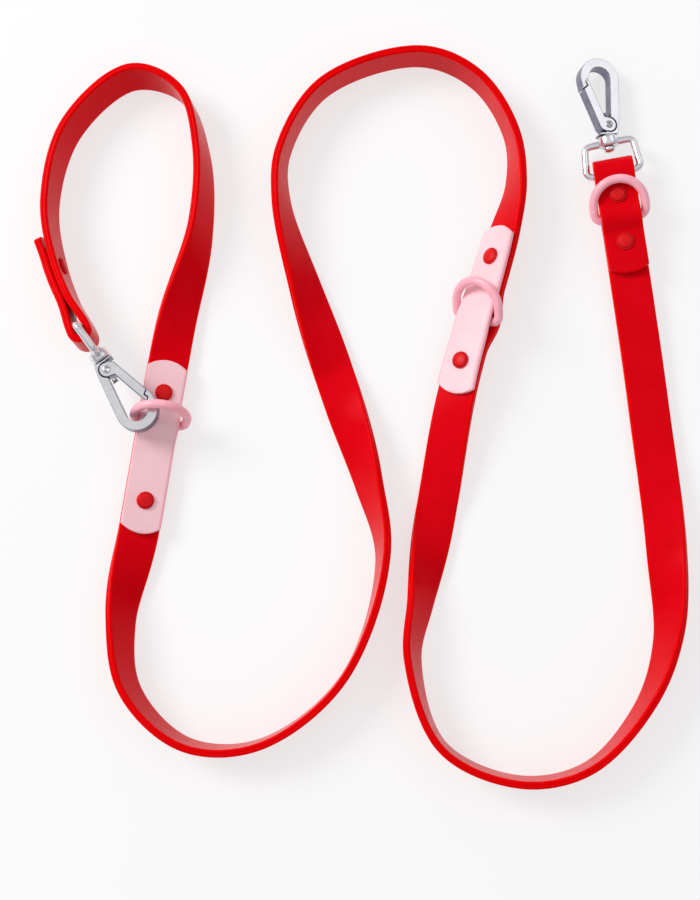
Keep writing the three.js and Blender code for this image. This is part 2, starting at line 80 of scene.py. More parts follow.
# The strap's middle line from fold to fold: x, y, lean and lift, as in the part.
ROUTE = [
    (-133.6, 37, -90, 6),
    (-149, 72.5, -96, 2.2),
    (-154.5, 105.5, -97, 0.5),
    (-144.5, 143.5, -102, 0),
    (-114.5, 170, -103, 0),
    (-89.5, 161.5, -89, 0),
    (-79, 132, -78, 0),
    (-79, 91.5, -65, 0),
    (-90.5, 45.5, -28, 0.5),
    (-95, 22.5, -14, 1),
    (-108, -59, -16, 1),
    (-115.5, -103.5, -60, 0),
    (-110.5, -137, -75, 0),
    (-84, -162.5, -85, 0),
    (-48, -163, -89, 0),
    (-7.5, -132, -90, 0),
    (12, -74, -80, 0),
    (5, -35.5, -54, 0),
    (-7.5, 5.5, -14, 0),
    (-26, 61, 41, 0),
    (-38.5, 106.5, 72, 0),
    (-37.5, 132, 82, 0),
    (-17, 165, 86, 0),
    (31.5, 181, 88, 0),
    (60, 169, 88, 0),
    (77, 142, 85, 0),
    (79.5, 117, 74, 0.5),
    (72.5, 87, 50, 3.6),
    (49.5, 10.5, 27, 3),
    (39.5, -45, 4, 0.4),
    (30.5, -94, -54, 0),
    (26.5, -122.5, -72, 0),
    (40.5, -164, -84, 0),
    (77.5, -180.5, -88, 0),
    (111, -174, -90, 0),
    (138.5, -144.5, -83, 0),
    (150.5, -112.5, -66, 0),
    (151.5, -69.5, -30, 0.4),
    (144.5, 6.5, -4, 1),
    (129.2, 121.6, -11, 3.9),
]

TABS = [
    {"name": "1", "first": 338, "ring": 15, "tilt": 69, "strap_bow": 0},
    {"name": "2", "first": 1112, "ring": 31.5, "tilt": 35, "strap_bow": 4.6},
]
TAB_SWELL = 10.5
STRAP_SWELL = 1.6 * TAB_SWELL
LOOP_END = {"close": 20, "tail": 54, "rivets": [37.5], "splay": 1.8}
FREE_END = {"close": 9, "tail": 53, "rivets": [13, 37], "ring": 24.5, "tilt": 24, "strap_bow": 2.2}
FREE_SWELL = 8

CAMERA = {"place": (-4, -93, 696), "target": (-4, -19, 0), "lens": 56}


# ---------------------------------------------------------------- the strap's line
def catmull_rom(points, t):
    """A centripetal Catmull-Rom spline through the points, at t from 0 to 1."""
    last = len(points) - 1
    place = last * t
    i = min(int(place), last - 1)
    share = place - i
    p1, p2 = points[i], points[i + 1]
    p0 = points[i - 1] if i > 0 else 2 * points[0] - points[1]
    p3 = points[i + 2] if i + 2 <= last else 2 * points[last] - points[last - 1]
    steps = [max((b - a).length, 1e-8) ** 0.5 for a, b in ((p0, p1), (p1, p2), (p2, p3))]
    d1 = steps[1] if steps[1] >= 1e-4 else 1.0
    d0 = steps[0] if steps[0] >= 1e-4 else d1
    d2 = steps[2] if steps[2] >= 1e-4 else d1
    t1 = ((p1 - p0) / d0 - (p2 - p0) / (d0 + d1) + (p2 - p1) / d1) * d1
    t2 = ((p2 - p1) / d1 - (p3 - p1) / (d1 + d2) + (p3 - p2) / d2) * d1
    c2 = -3 * p1 + 3 * p2 - 2 * t1 - t2
    c3 = 2 * p1 - 2 * p2 + t1 + t2
    return p1 + t1 * share + c2 * share**2 + c3 * share**3


class Line:
    """The strap's middle line, sampled, with the lean of the strap at each sample."""

    def __init__(self, route, samples):
        floor = [Vector((x, y, 0)) for x, y, _, _ in route]
        posture = [Vector((lean, lift, 0)) for _, _, lean, lift in route]
        self.points, self.leans, self.lengths = [], [], [0.0]
        for i in range(samples + 1):
            lean_degrees, lift, _ = catmull_rom(posture, i / samples)
            lean = math.radians(lean_degrees)
            side, face = abs(math.sin(lean)), abs(math.cos(lean))
            point = catmull_rom(floor, i / samples)
            point.z = (STRAP["width"] * side + STRAP["thick"] * face) / 2 + lift
            if i:
                self.lengths.append(self.lengths[-1] + (point - self.points[-1]).length)
            self.points.append(point)
            self.leans.append(lean)
        self.length = self.lengths[-1]

    def at(self, distance):
        """Middle, ahead, across and up at a distance; the line runs straight beyond its ends."""
        inside = min(max(distance, 0), self.length)
        low, high = 1, len(self.points) - 1
        while low < high:
            middle = (low + high) // 2
            if self.lengths[middle] < inside:
                low = middle + 1
            else:
                high = middle
        i = low
        share = (inside - self.lengths[i - 1]) / (self.lengths[i] - self.lengths[i - 1])
        lean = self.leans[i - 1] + (self.leans[i] - self.leans[i - 1]) * share
        after = self.points[min(i + 3, len(self.points) - 1)]
        ahead = (after - self.points[max(i - 4, 0)]).normalized()
        level = Vector((-ahead.y, ahead.x, 0)).normalized()
        upright = ahead.cross(level)
        across = level * math.cos(lean) + upright * math.sin(lean)
        place = self.points[i - 1].lerp(self.points[i], share) + ahead * (distance - inside)
        return place, ahead, across, ahead.cross(across)


def fall(x):
    """From 1 at x = 0 down to 0 at x = 1, level at both ends."""
    return (1 + math.cos(math.pi * min(max(x, 0), 1))) / 2


def swell(x):
    """A bump, 1 at x = 0 and 0 from x = 1 or -1 outwards."""
    return math.cos(math.pi * x / 2) ** 2 if abs(x) < 1 else 0.0


line = Line(ROUTE, LINE_SAMPLES)
FREE_RING_AT = line.length - FREE_END["ring"]
FOLD_PART = EYE["bar"] / 2 + GAP
LAYERS = STRAP["thick"] + GAP


def strap_offset(distance):
    """How far the strap stands off its line at the folds and over the rings."""
    folds = fall(distance / LOOP_END["close"]) + fall((line.length - distance) / FREE_END["close"])
    bow = FREE_END["strap_bow"] * swell((distance - FREE_RING_AT) / FREE_SWELL)
    for tab in TABS:
        bow += tab["strap_bow"] * swell((distance - tab["first"] - tab["ring"]) / STRAP_SWELL)
    return -FOLD_PART * folds - bow


def loop_tail_offset(back):
    """How far the loop end's tail stands off the line: it splays beyond its rivet."""
    start, tail = LOOP_END["rivets"][0], LOOP_END["tail"]
    beyond = max(back - start, 0) / (tail - start)
    return LAYERS + FOLD_PART * fall(back / LOOP_END["close"]) + LOOP_END["splay"] * beyond**2


def free_tail_offset(back):
    """How far the free end's tail stands off the line: it rises over ring 3."""
    rise = (RING_RISE - FREE_END["strap_bow"]) * swell((back - FREE_END["ring"]) / FREE_SWELL)
    return LAYERS + FOLD_PART * fall(back / FREE_END["close"]) + rise


def spread(start, end, step):
    """Evenly spaced values from start to end, about a step apart."""
    count = max(1, round(abs(end - start) / step))
    return [start + (end - start) * i / count for i in range(count + 1)]


# ---------------------------------------------------------------- meshes
def piece(name, body, materials, vertices, faces, indices=None, smooth=True):
    """A mesh piece from millimetre vertices that rides on a body."""
    mesh = bpy.data.meshes.new(name)
    mesh.from_pydata([Vector(v) * 0.001 for v in vertices], [], faces)
    for material in materials:
        mesh.materials.append(material)
    if indices:
        mesh.polygons.foreach_set("material_index", indices)
    mesh.polygons.foreach_set("use_smooth", [smooth] * len(mesh.polygons))
    mesh.update()
    made = bpy.data.objects.new(name, mesh)
    bpy.context.scene.collection.objects.link(made)
    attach(made, body)
    return made


def skin(sections, looped=False):
    """Vertices and faces of a surface through sections of the same number of points."""
    sides = len(sections[0])
    vertices = [point for section in sections for point in section]
    faces = []
    for j in range(len(sections) if looped else len(sections) - 1):
        here, ahead = j * sides, (j + 1) % len(sections) * sides
        for i in range(sides):
            k = (i + 1) % sides
            faces.append((here + i, here + k, ahead + k, ahead + i))
    if not looped:
        end = (len(sections) - 1) * sides
        faces.append(tuple(reversed(range(sides))))
        faces.append(tuple(end + i for i in range(sides)))
    return vertices, faces


def band_outline(half, thick, radius, seam):
    """A flat band's rounded section as [across, up], anticlockwise, with a seam line round each edge."""
    points = []
    top = thick / 2
    for side, start in ((1, -90), (-1, 90)):
        edge, flat, rise = side * half, side * (half - radius), side * (top - radius)
        points += arc(flat, -rise, radius, start, start + 90, CORNER_STEPS)
        points += [(edge, -side * SEAM["half"]), (edge - side * seam, 0), (edge, side * SEAM["half"])]
        points += arc(flat, rise, radius, start + 90, start + 180, CORNER_STEPS)
        points += [(flat * share, side * top) for share in FACE_SHARES]
        points += [(-flat * share, side * top) for share in reversed(FACE_SHARES)]
    return points


def band(run, outline_of):
    """A flat band along the line through [distance, offset, half width, fullness] stations."""
    sections = []
    for i, (distance, offset, half, full) in enumerate(run):
        before, after = run[max(i - 1, 0)], run[min(i + 1, len(run) - 1)]
        middle, ahead, across, up = line.at(distance)
        way = (ahead * (after[0] - before[0]) + up * (after[1] - before[1])).normalized()
        normal = way.cross(across)
        centre = middle + up * offset
        sections.append([centre + across * x + normal * z * full for x, z in outline_of(half)])
    return skin(sections)


def tip(half, radius):
    """An arc-ended tip: [distance from the end, half width, fullness]."""
    depth = radius - math.sqrt(radius**2 - half**2)
    made = []
    for back in (0.02, 0.12, 0.3, 0.6, 0.95, 0.5 * depth, 0.75 * depth, depth):
        width = min(math.sqrt(radius**2 - (radius - back) ** 2), half)
        rounding = math.sqrt(min(back / TIP["length"], 1))
        made.append((back, width, TIP["fullness"] + (1 - TIP["fullness"]) * rounding))
    return sorted(made)


def tail_run(tail, offset_of, place):
    """A folded tail's stations, from its tip to the fold."""
    half = STRAP["width"] / 2
    ends = tip(half, TAIL_END_RADIUS)
    run = [(place(tail - back), offset_of(tail - back), width, full) for back, width, full in ends]
    rest = spread(tail - ends[-1][0] - 1, 0, 1)
    return run + [(place(back), offset_of(back), half, 1) for back in rest]


def fold_run(place):
    """The stations of the turn round an eye's bar."""
    radius = FOLD_PART + LAYERS / 2
    angles = [math.pi * step / FOLD_STEPS for step in range(1, FOLD_STEPS)]
    return [
        (place(-radius * math.sin(a)), LAYERS / 2 + radius * math.cos(a), STRAP["width"] / 2, 1)
        for a in angles
    ]


def edge_indices(faces, sides):
    """Material 1 for a band's two edges, 0 for its broad faces and its ends."""
    walls = len(faces) - 2
    return [int(n < walls and n % sides % (sides // 2) < EDGE_POINTS) for n in range(len(faces))]


def strap_piece(coating, edge):
    """The whole strap in one band: tail, fold, strap, fold and tail."""
    half, thick = STRAP["width"] / 2, STRAP["thick"]
    stops = spread(0, line.length, STRAP["step"])
    run = tail_run(LOOP_END["tail"], loop_tail_offset, lambda back: back)
    run += fold_run(lambda back: back)
    run += [(stop, strap_offset(stop), half, 1) for stop in stops]
    run += fold_run(lambda back: line.length - back)[::-1]
    run += tail_run(FREE_END["tail"], free_tail_offset, lambda back: line.length - back)[::-1]

    def outline_of(width):
        radius = min(STRAP["round"], 0.45 * width)
        return band_outline(width, thick, radius, SEAM["depth"])

    vertices, faces = band(run, outline_of)
    sides = len(outline_of(half))
    indices = edge_indices(faces, sides)
    # Material 1, on the band's edges, is the lighter red of a painted highlight.
    made = piece("coated_strap", "strap", [coating, edge], vertices, faces, indices)
    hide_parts("strap")
    return made


def tab_piece(tab, coating, edge):
    """A pink tab along the strap, raised over its ring's bar."""
    overhang = (TAB["length"] - TAB["rivet_spacing"]) / 2
    start, end = tab["first"] - overhang, tab["first"] + TAB["rivet_spacing"] + overhang
    half = TAB["width"] / 2
    ends = tip(half, TAB["end_radius"])
    stops = [(start + back, width, full) for back, width, full in ends]
    inset = ends[-1][0] + 1
    stops += [(stop, half, 1) for stop in spread(start + inset, end - inset, TAB_STEP)]
    stops += [(end - back, width, full) for back, width, full in reversed(ends)]
    seat = STRAP["thick"] / 2 + GAP + TAB["thick"] / 2
    rise = RING_RISE - tab["strap_bow"]
    run = [
        (stop, seat + rise * swell((stop - tab["first"] - tab["ring"]) / TAB_SWELL), width, full)
        for stop, width, full in stops
    ]

    def outline_of(width):
        return band_outline(width, TAB["thick"], min(TAB["round"], 0.45 * width), 0.0)

    vertices, faces = band(run, outline_of)
    sides = len(outline_of(half))
    indices = edge_indices(faces, sides)
    name = f"tab_{tab['name']}"
    # Material 1, on the tab's edges, is the darker pink of painted shade.
    made = piece(f"{name}_cover", "strap", [coating, edge], vertices, faces, indices)
    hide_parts(f"tab_{tab['name']}")


def turned(outline, sides, matrix=None):
    """A surface of revolution about Z from an outline of (radius, height), bottom to top."""
    matrix = matrix or Matrix.Identity(4)
    angles = [2 * math.pi * k / sides for k in range(sides)]
    return skin([
        [matrix @ Vector((r * math.cos(a), r * math.sin(a), z)) for a in angles] for r, z in outline
    ])


def wire(points, radius, sides, looped, matrix=None):
    """A round wire through points in space."""
    matrix = matrix or Matrix.Identity(4)
    points = [Vector(p) for p in points]
    count = len(points)
    angles = [2 * math.pi * (k + 0.5) / sides for k in range(sides)]
    across = None
    sections = []
    for i, point in enumerate(points):
        after = points[(i + 1) % count] if looped else points[min(i + 1, count - 1)]
        before = points[i - 1] if looped or i else points[0]
        ahead = (after - before).normalized()
        across = across or Vector((ahead.y, ahead.z, ahead.x))
        across = (across - ahead * across.dot(ahead)).normalized()
        up = ahead.cross(across)
        sections.append([
            matrix @ (point + across * radius * math.cos(a) + up * radius * math.sin(a)) for a in angles
        ])
    return skin(sections, looped)


def arc(cx, cy, radius, start, end, count):
    """Points of an arc in degrees, both ends included."""
    angles = [math.radians(start + (end - start) * i / count) for i in range(count + 1)]
    return [(cx + radius * math.cos(a), cy + radius * math.sin(a)) for a in angles]


def prism(outline, thick, matrix):
    """Vertices and faces of a flat prism about its own mid-plane, its two broad faces first."""
    count = len(outline)
    vertices = [matrix @ Vector((x, y, z)) for z in (-thick / 2, thick / 2) for x, y in outline]
    faces = [tuple(reversed(range(count))), tuple(range(count, 2 * count))]
    faces += [(i, (i + 1) % count, count + (i + 1) % count, count + i) for i in range(count)]
    return vertices, faces


def plate(name, body, materials, outline, thick, matrix, bevel):
    """A flat plate: polished faces, then sides and rounded edges in the second material, darker as painted
    shade and reflection.
    """
    vertices, faces = prism(outline, thick, matrix)
    indices = [0, 0] + [1] * len(outline)
    made = piece(name, body, materials, vertices, faces, indices)
    rounding = made.modifiers.new("rounded_edges", "BEVEL")
    rounding.width = bevel * 0.001
    rounding.segments = 3
    rounding.limit_method = "ANGLE"
    rounding.angle_limit = math.radians(38)
    rounding.harden_normals = True
    # The rounded edges take the second material too: painted shade and reflection along them.
    rounding.material = 1
    return made


def merged(*parts):
    """Vertices and faces of several surfaces as one."""
    vertices, faces = [], []
    for more, ngons in parts:
        faces += [tuple(i + len(vertices) for i in face) for face in ngons]
        vertices += more
    return vertices, faces


def declare_strap(fitting):
    """Works out points along the strap's middle line in metres and keeps none of them; the fitting is not
    used.
    """
    for distance in spread(0, line.length, PATH_STEP):
        middle, _, _, up = line.at(distance)
        tuple((middle + up * strap_offset(distance)) * 0.001)


# ---------------------------------------------------------------- rivets
def seat_at(distance, offset):
    """The axes of a rivet's head: X along the strap and Z out of it."""
    middle, ahead, across, up = line.at(distance)
    rotation = Matrix((ahead, across, up)).transposed().to_4x4()
    return Matrix.Translation(middle + up * offset) @ rotation


def rivet_face(matrix, sign):
    """A domed head with a fine rim, standing on a face that looks along sign times Z."""
    cap, dome = RIVET["cap"], RIVET["dome"]
    outline = [(cap * 0.9, -0.25), (cap, 0.02), (cap, 0.3 * dome), (0.97 * cap, 0.45 * dome)]
    outline += [(0.93 * cap, 0.5 * dome), (0.9 * cap, 0.47 * dome), (0.86 * cap, 0.55 * dome)]
    dome_foot, foot_sine, reach = 0.55, 0.766, 1.34
    for degrees in range(50, 90, 8):
        a = math.radians(degrees)
        share = (math.sin(a) - foot_sine) / (1 - foot_sine)
        outline.append((reach * cap * math.cos(a), dome * (dome_foot + (1 - dome_foot) * share)))
    outline.append((AXIS_RADIUS, dome))
    flip = Matrix.Identity(4) if sign > 0 else Matrix.Rotation(math.pi, 4, "X")
    return turned(outline, 40, matrix @ flip)


def rivet_pieces(material):
    """Every rivet's two heads, on the tabs and on both folded tails."""
    below = -STRAP["thick"] / 2
    tab_top = STRAP["thick"] / 2 + GAP + TAB["thick"]
    tail_top = LAYERS + STRAP["thick"] / 2
    places = [
        (f"tab_{tab['name']}_rivet_{n + 1}", tab["first"] + n * TAB["rivet_spacing"], tab_top)
        for tab in TABS for n in (0, 1)
    ]
    places.append(("loop_end_rivet", LOOP_END["rivets"][0], tail_top))
    places += [
        (f"free_end_rivet_{n + 1}", line.length - back, tail_top)
        for n, back in enumerate(FREE_END["rivets"])
    ]
    for name, distance, upper in places:
        for part, offset, sign in (("cap", upper + GAP, 1), ("back", below - GAP, -1)):
            vertices, faces = rivet_face(seat_at(distance, offset), sign)
            made = piece(f"{name}_{part}_head", "strap", [material], vertices, faces)
            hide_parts(f"{name}_{part}")


# ---------------------------------------------------------------- D-rings
def ring_seat(distance, strap_bow, towards_end):
    """The axes of a D-ring: X along its bar, Y towards its bow and Z off the strap."""
    middle, ahead, across, up = line.at(distance)
    x, y = (-across, ahead) if towards_end else (across, -ahead)
    height = STRAP["thick"] / 2 + GAP + RING["tube"] / 2 - strap_bow
    return Matrix.Translation(middle + up * height) @ Matrix((x, y, up)).transposed().to_4x4()


def ring_piece(name, seat, tilt, material):
    """A D-ring's wire: its bar, two corners and bow, tilted about the bar."""
    half, height, corner = RING["width"] / 2, RING["height"], RING["corner"]
    flat = half - corner
    outline = [(x, 0) for x in spread(-flat, flat, WIRE_STEP)]
    outline += arc(flat, corner, corner, -90, 0, BEND_STEPS)[1:]
    outline += arc(0, height - half, half, 0, 180, 40)
    outline += arc(-flat, corner, corner, 180, 270, BEND_STEPS)[:-1]
    points = [(x, y, 0) for x, y in outline]
    matrix = seat @ Matrix.Rotation(math.radians(tilt), 4, "X")
    vertices, faces = wire(points, RING["tube"] / 2, 20, True, matrix)
    made = piece(f"ring_{name}_wire", f"ring_{name}", [material], vertices, faces)
    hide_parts(f"d_ring_{name}")


# ---------------------------------------------------------------- snap hooks
def joint(name):
    """A joint's place in millimetres and its axis, from the frame."""
    found = next(j for j in frame["joints"] if j["name"] == name)
    return Vector(found["pos_m"]) * 1000, Vector(found["axis"]).normalized()


def hook_axes(name):
    """The axes of hook and eye: Y along the swivel, Z out of the hook's face, X along the eye's bar."""
    swivel, y = joint(f"hook_{name}_swivel")
    _, gate_axis = joint(f"gate_{name}_open")
    z = -gate_axis
    hook = Matrix.Translation(swivel) @ Matrix((y.cross(z), y, z)).transposed().to_4x4()
    _, x = joint(f"eye_{name}_swing")
    eye = Matrix.Translation(swivel) @ Matrix((x, y, x.cross(y))).transposed().to_4x4()
    return hook, eye


def body_outline():
    """The casting seen from its face: base, spine and bow, nose, inner curve, room for the gate's disc."""
    cx, cy = HOOK["centre"]
    px, py = HOOK["pivot"]
    base = HOOK["base"]
    room = DISC + 0.4
    outline = [(-4.8, base), (4.8, base), (5.9, 7.2), (6.8, 10.8)]
    outline += arc(cx, cy, HOOK["outer"], -8, 183, 48)
    outline += [(-9.5, 28.7), (-7.1, 30.2), (-7.8, 32.4), (-6.1, 33.8)]
    outline += arc(cx, cy, HOOK["inner"], 175, -8, 40)
    outline += [(2.7, 13.5)]
    outline += arc(px, py, room, 64, -119, 24)
    outline += [(-1.1, base + 1), (-4.8, base + 1)]
    return outline


def gate_outline():
    """The gate seen from its face: its heel, its disc and its long lever up to the nose."""
    px, py = HOOK["pivot"]
    outline = [(-4.7, 10), (-4.4, 8.3), (-3.4, 6.6), (-1.7, 5.5)]
    outline += arc(px, py, DISC, 250, 440, 30)
    outline += [(-0.9, 13.2), (-5.75, 33.6), (-7.45, 32.3), (-6.7, 30.1), (-9.2, 28.4)]
    return outline


def along_y(matrix):
    """Turns a piece made about Z so that its axis is Y, its top towards the hook."""
    return matrix @ Matrix.Rotation(-math.pi / 2, 4, "X")


def lug_part(matrix):
    """The thin lug between the gate's cheeks, seen in the crescent beside its disc."""
    outline = [(-0.5, 4), (5, 4), (6.1, 9.5), (4.6, 12.4), (-0.5, 8)]
    return prism(outline, LUG_THICK, matrix)


def stud_part(matrix):
    """The swivel stud's shank, its neck above the barrel and its peened head inside the frame."""
    base, low = HOOK["base"], BARREL["low"] - GAP
    shank = turned([(STUD["radius"], low), (STUD["radius"], base + 0.3)], 24, along_y(matrix))
    head, rim = STUD["head"], 1.0
    profile = [(0.5, low), (head - 0.2, low), (head, low - 0.3), (head, low - rim)]
    for degrees in range(20, 95, 15):
        a = math.radians(degrees)
        peened = (STUD["head_depth"] - rim) * math.sin(a)
        profile.append((head * math.cos(a) + AXIS_RADIUS / 2, low - rim - peened))
    knob = turned(profile[::-1], 28, along_y(matrix))
    return merged(shank, knob)


def pin_part(matrix):
    """The gate's pin: a rivet head on each face, ringed round a dimpled middle."""
    face = HOOK["thick"] / 2 + GAP * 0.2
    head, depth = PIN["head"], PIN["depth"]
    profile = [(head * 0.96, -0.3), (head, 0.1), (head, 0.5 * depth), (0.85 * head, depth)]
    profile += [(0.62 * head, depth), (0.56 * head, 0.45 * depth), (0.5 * head, 0.4 * depth)]
    profile += [(0.44 * head, 0.75 * depth), (0.25 * head, 0.7 * depth), (0.12 * head, 0.2 * depth)]
    profile.append((AXIS_RADIUS, 0.1))
    seat = matrix @ Matrix.Translation((*HOOK["pivot"], 0))
    outwards = Matrix.Translation((0, 0, face))
    front = turned(profile, 32, seat @ outwards)
    back = turned(profile, 32, seat @ Matrix.Rotation(math.pi, 4, "X") @ outwards)
    return merged(front, back)


def spring_part(matrix):
    """The gate's spring, a coil between the gate and the spine. It rides on the body and doesn't squash."""
    steps = TURN_STEPS * SPRING["turns"]
    points = []
    for i in range(steps + 1):
        a = 2 * math.pi * SPRING["turns"] * i / steps
        x = SPRING["from"] + (SPRING["to"] - SPRING["from"]) * i / steps
        points.append((x, SPRING["y"] + SPRING["radius"] * math.cos(a), SPRING["radius"] * math.sin(a)))
    return wire(points, SPRING["wire"] / 2, 10, False, matrix)


def frame_part(matrix):
    """The eye's rounded frame with the swivel's barrel on its far bar."""
    low, high, corner = EYE["fold_width"] / 2, EYE["top_width"] / 2, EYE["corner"]
    height = EYE["height"]
    outline = [(x, -height) for x in spread(-low + corner, low - corner, WIRE_STEP)]
    outline += arc(low - corner, corner - height, corner, -90, 0, BEND_STEPS)[1:]
    outline += arc(high - corner, -corner, corner, 0, 90, BEND_STEPS)
    outline += [(x, 0) for x in spread(high - corner, -high + corner, WIRE_STEP)[1:-1]]
    outline += arc(-high + corner, -corner, corner, 90, 180, BEND_STEPS)
    outline += arc(-low + corner, corner - height, corner, 180, 270, BEND_STEPS)[:-1]
    return wire([(x, y, 0) for x, y in outline], EYE["bar"] / 2, 18, True, matrix)


def barrel_part(matrix):
    """The barrel that the stud turns in: chamfered, waisted a little, with a dark gap round the stud."""
    radius, low, high = BARREL["radius"], BARREL["low"], BARREL["high"]
    bore = STUD["radius"] + GAP
    profile = [(bore, low + 0.6), (bore, low), (radius - 0.9, low), (radius - 0.25, low + 0.3)]
    profile += [(radius, low + 0.9), (radius, high - 1.3), (radius - 0.2, high - 0.6)]
    profile += [(radius - 0.8, high), (bore + 0.3, high), (bore, high - 0.3), (bore, high - 0.8)]
    return turned(profile, 40, along_y(matrix))


def hook_pieces(name, nickel, side, dark, steel):
    """All of one snap hook's pieces, on the bodies of its hook, gate and eye."""
    hook, eye = hook_axes(name)
    # The second material is the nickel darkened as painted shade and reflection, for the sides and rounded
    # edges.
    start, thick, faces_and_shaded_sides = f"hook_{name}", HOOK["thick"], [nickel, side]
    body = plate(f"{start}_casting", start, faces_and_shaded_sides, body_outline(), thick, hook, bevel=0.4)
    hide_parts(f"hook_{name}_body")
    gate = plate(f"{start}_gate_lever", f"gate_{name}", faces_and_shaded_sides, gate_outline(), thick, hook, bevel=0.35)
    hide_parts(f"hook_{name}_gate")
    pieces = [body, gate]
    made = [
        # The lug is nickel, drawn near-black as painted shade between the cheeks.
        ("lug", start, "nickel", dark, lug_part(hook), None),
        ("stud", start, "nickel", nickel, stud_part(hook), None),
        ("pin_heads", start, "steel", steel, pin_part(hook), "gate_pin"),
        ("spring", start, "steel", steel, spring_part(hook), "gate_spring"),
        ("frame", f"eye_{name}", "nickel", nickel, frame_part(eye), "eye_frame"),
        ("barrel", f"eye_{name}", "nickel", nickel, barrel_part(eye), None),
    ]
    for part, body_name, slot, material, (vertices, faces), node in made:
        rounded = part != "lug"
        item = piece(f"{start}_{part}_part", body_name, [material], vertices, faces, smooth=rounded)
        if node:
            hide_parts(f"hook_{name}_{node}")
        pieces.append(item)
    return pieces


# ---------------------------------------------------------------- materials
RED_TINT = (1.0, 0.12, 0.16)
PINK_TINT = (1.0, 0.7, 0.75)
# Noise keeps mostly between these two values, which are stretched over each range.
NOISE_LOW, NOISE_HIGH = 0.3, 0.7


def new_material(name):
    """A material with its nodes, its links and its shader."""
    material = bpy.data.materials.new(name)
    material.use_nodes = True
    nodes = material.node_tree.nodes
    return material, nodes, material.node_tree.links, nodes["Principled BSDF"]


def noise(nodes, links, scale, detail):
    """Noise in the piece's own space, so it moves with the piece."""
    coordinates = nodes.new("ShaderNodeTexCoord")
    texture = nodes.new("ShaderNodeTexNoise")
    texture.inputs["Scale"].default_value = scale
    texture.inputs["Detail"].default_value = detail
    links.new(coordinates.outputs["Object"], texture.inputs["Vector"])
    return texture.outputs["Fac"]


def ranged(nodes, links, value, low, high):
    """Noise stretched from low to high."""
    mapped = nodes.new("ShaderNodeMapRange")
    mapped.inputs["From Min"].default_value = NOISE_LOW
    mapped.inputs["From Max"].default_value = NOISE_HIGH
    mapped.inputs["To Min"].default_value = low
    mapped.inputs["To Max"].default_value = high
    links.new(value, mapped.inputs["Value"])
    return mapped.outputs["Result"]


def coloured(nodes, links, shader, value, dark, light):
    """A base colour that shifts from dark to light with the noise."""
    ramp = nodes.new("ShaderNodeValToRGB")
    ramp.color_ramp.elements[0].position = NOISE_LOW
    ramp.color_ramp.elements[0].color = (*dark, 1)
    ramp.color_ramp.elements[1].position = NOISE_HIGH
    ramp.color_ramp.elements[1].color = (*light, 1)
    links.new(value, ramp.inputs["Fac"])
    links.new(ramp.outputs["Color"], shader.inputs["Base Color"])


def bumped(nodes, links, shader, heights):
    """Chained bumps from (value, depth in metres) pairs."""
    normal = None
    for value, depth in heights:
        bump = nodes.new("ShaderNodeBump")
        bump.inputs["Strength"].default_value = 1.0
        bump.inputs["Distance"].default_value = depth
        links.new(value, bump.inputs["Height"])
        if normal:
            links.new(normal, bump.inputs["Normal"])
        normal = bump.outputs["Normal"]
    links.new(normal, shader.inputs["Normal"])


def coated(name, dark, light, roughness, specular, tint):
    """Smooth coated webbing: a fine calendered grain, a faint waviness and slight shifts of colour."""
    material, nodes, links, shader = new_material(name)
    coloured(nodes, links, shader, noise(nodes, links, 60, 3), dark, light)
    grain = noise(nodes, links, 2600, 2)
    waviness = noise(nodes, links, 90, 1)
    bumped(nodes, links, shader, [(waviness, 0.00006), (grain, 0.000004)])
    low, high = roughness
    links.new(ranged(nodes, links, noise(nodes, links, 240, 4), low, high), shader.inputs["Roughness"])
    shader.inputs["Specular IOR Level"].default_value = specular
    shader.inputs["Specular Tint"].default_value = (*tint, 1)
    return material


def enamel(name, dark, light, roughness, specular):
    """Painted metal: even in colour, with a faint orange-peel."""
    material, nodes, links, shader = new_material(name)
    coloured(nodes, links, shader, noise(nodes, links, 220, 3), dark, light)
    bumped(nodes, links, shader, [(noise(nodes, links, 500, 2), 0.00002)])
    low, high = roughness
    links.new(ranged(nodes, links, noise(nodes, links, 300, 3), low, high), shader.inputs["Roughness"])
    shader.inputs["Specular IOR Level"].default_value = specular
    return material


def metal(name, dark, light, roughness, metallic):
    """Plated or plain metal with fine polishing scratches and faint clouding."""
    material, nodes, links, shader = new_material(name)
    coloured(nodes, links, shader, noise(nodes, links, 160, 3), dark, light)
    bumped(nodes, links, shader, [(noise(nodes, links, 300, 1), 0.000006)])
    low, high = roughness
    links.new(ranged(nodes, links, noise(nodes, links, 700, 5), low, high), shader.inputs["Roughness"])
    shader.inputs["Metallic"].default_value = metallic
    return material


def red_coating():
    return coated("red_coating", (0.66, 0.001, 0.005), (0.72, 0.002, 0.008), (0.2, 0.3), 0.06, RED_TINT)


# The strap's edges: the same red coating as its faces, made lighter as a painted highlight along the
# rounded edges.
def red_edge_painted_highlight():
    return coated("red_edge_painted_highlight", (0.74, 0.0, 0.001), (0.8, 0.001, 0.002), (0.3, 0.4), 0.12, RED_TINT)


def pink_coating():
    return coated("pink_coating", (0.96, 0.6, 0.64), (0.99, 0.66, 0.7), (0.36, 0.48), 0.25, PINK_TINT)


# The tabs' edges: the same pink coating as their faces, made darker as painted shade on their side walls.
def pink_edge_painted_shade():
    return coated("pink_edge_painted_shade", (0.94, 0.48, 0.54), (0.97, 0.54, 0.59), (0.4, 0.52), 0.25, PINK_TINT)


def pink_enamel():
    return enamel("pink_enamel", (0.97, 0.42, 0.5), (1.0, 0.48, 0.56), (0.28, 0.36), 0.4)


def red_rivet_enamel():
    return enamel("red_rivet_enamel", (0.66, 0.006, 0.009), (0.72, 0.009, 0.012), (0.32, 0.4), 0.12)


